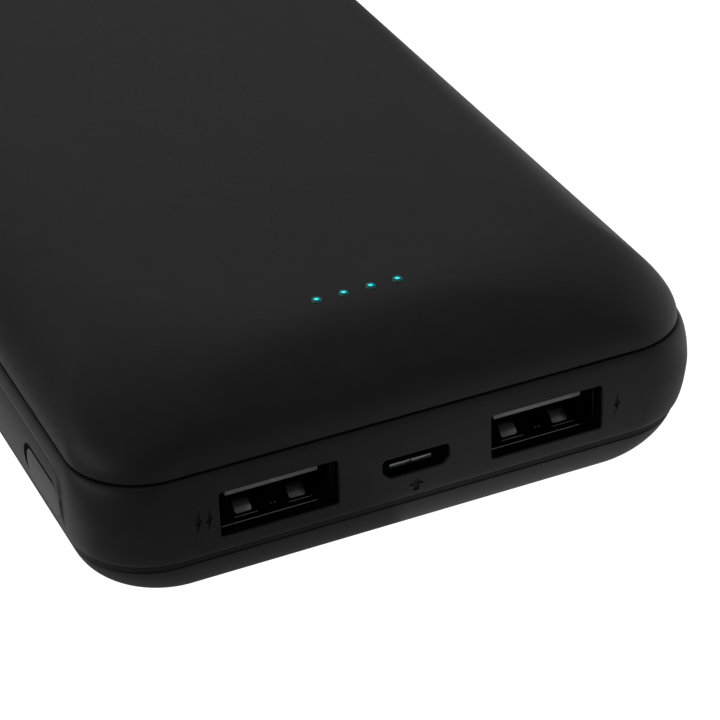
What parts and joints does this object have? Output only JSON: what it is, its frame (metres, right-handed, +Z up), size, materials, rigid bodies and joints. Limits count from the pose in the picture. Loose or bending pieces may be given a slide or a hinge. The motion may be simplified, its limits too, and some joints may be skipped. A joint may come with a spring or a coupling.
{
  "type": "power bank",
  "caption": "Slim black power bank with a domed lid, two USB-A sockets and one micro-USB socket in the end of its band, indicator lights and a side button.",
  "frame": {"origin": "centre of the underside, on the plane that the power bank rests on", "axes": "+Z up through the domed lid; -Y out of the socket face; the power button is on the -X side; the long side runs along Y"},
  "size_m": [0.0716, 0.14, 0.0245],
  "materials": {
    "soft_touch_black": "satin soft-touch coating, very fine texture",
    "button_black": "satin soft-touch coating",
    "switch_black": "moulded",
    "socket_steel": "nickel-plated, pressed",
    "tongue_plastic": "moulded",
    "contact_gold": "gold-plated",
    "light_guide_clear": "clear moulded",
    "led_cyan": "lit cyan",
    "board_green": "solder mask",
    "chip_black": "moulded package",
    "ferrite": "pressed ferrite",
    "ceramic_tan": "fired ceramic",
    "pouch_foil": "laminated foil",
    "nickel": "nickel strip",
    "screw_steel": "zinc-plated",
    "cell_tape": "adhesive film",
    "foam": "closed-cell foam",
    "insulation_paper": "fish paper",
    "wire_red": "silicone insulation",
    "wire_black": "silicone insulation"
  },
  "bodies": {
    "housing": {"top_cover": "soft_touch_black", "middle_frame": "soft_touch_black", "bottom_cover": "soft_touch_black", "switch_body": "switch_black", "usb_a_left_shell": "socket_steel", "usb_a_right_shell": "socket_steel", "micro_usb_shell": "socket_steel", "usb_a_left_tongue": "tongue_plastic", "usb_a_right_tongue": "tongue_plastic", "micro_usb_tongue": "tongue_plastic", "usb_a_left_contact_1": "contact_gold", "usb_a_left_contact_2": "contact_gold", "usb_a_left_contact_3": "contact_gold", "usb_a_left_contact_4": "contact_gold", "usb_a_right_contact_1": "contact_gold", "usb_a_right_contact_2": "contact_gold", "usb_a_right_contact_3": "contact_gold", "usb_a_right_contact_4": "contact_gold", "micro_usb_contact_1": "contact_gold", "micro_usb_contact_2": "contact_gold", "micro_usb_contact_3": "contact_gold", "micro_usb_contact_4": "contact_gold", "micro_usb_contact_5": "contact_gold", "light_guide": "light_guide_clear", "led_1": "led_cyan", "led_2": "led_cyan", "led_3": "led_cyan", "led_4": "led_cyan", "main_board": "board_green", "protection_board": "board_green", "controller_chip": "chip_black", "power_transistor_1": "chip_black", "power_transistor_2": "chip_black", "power_inductor": "ferrite", "capacitor_1": "ceramic_tan", "capacitor_2": "ceramic_tan", "cell_lower": "pouch_foil", "cell_upper": "pouch_foil", "lower_tab_positive": "nickel", "lower_tab_negative": "nickel", "upper_tab_positive": "nickel", "upper_tab_negative": "nickel", "board_screw_left": "screw_steel", "board_screw_right": "screw_steel", "cell_tape": "cell_tape", "top_foam_pad": "foam", "bottom_foam_pad": "foam", "rear_foam_block": "foam", "insulation_sheet": "insulation_paper", "lead_positive": "wire_red", "lead_negative": "wire_black"},
    "button": {"power_button": "button_black"},
    "plunger": {"switch_plunger": "switch_black"}
  },
  "joints": [
    {"name": "button_press", "type": "slide", "parent": "housing", "child": "button", "axis": [1, 0, 0], "range_m": [0, 0.0005], "stiffness_N_per_m": 400},
    {"name": "plunger_press", "type": "slide", "parent": "housing", "child": "plunger", "axis": [1, 0, 0], "range_m": [0, 0.00025]}
  ],
  "couplings": [
    {"joint": "plunger_press", "follows": "button_press", "ratio": 0.5}
  ]
}
